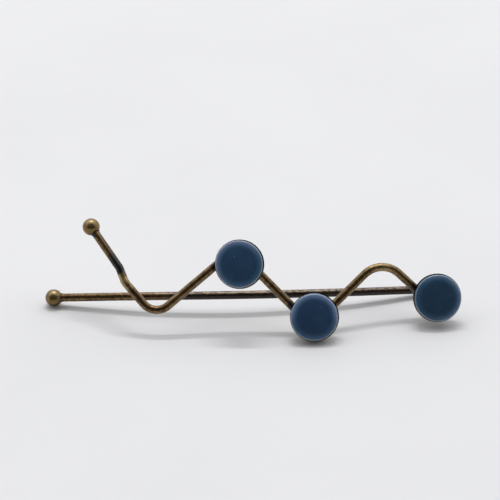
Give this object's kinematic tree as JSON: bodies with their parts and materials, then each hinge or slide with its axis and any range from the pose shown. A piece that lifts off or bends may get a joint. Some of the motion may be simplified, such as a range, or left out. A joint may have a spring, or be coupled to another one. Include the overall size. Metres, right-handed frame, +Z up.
{
  "type": "hairpin",
  "caption": "Waved hairpin of bent brass wire, with ball tips and dark blue glass discs set in small soldered cups.",
  "frame": {"origin": "on the surface that the pin lies on, under the middle of its bounding box", "axes": "+X along the pin from its ball tips to its loop, +Y away from the side that the discs face, +Z up"},
  "size_m": [0.0728, 0.0166, 0.0162],
  "materials": {
    "aged_brass": "aged satin with dark patina",
    "ball_brass": "worn satin",
    "blue_glass": "opaque gloss"
  },
  "bodies": {
    "root": {"pin_wire": "aged_brass", "cabochon_upper": "blue_glass", "cabochon_middle": "blue_glass", "cabochon_end": "blue_glass", "ball_tip_front": "ball_brass", "ball_tip_back": "ball_brass"}
  },
  "joints": []
}
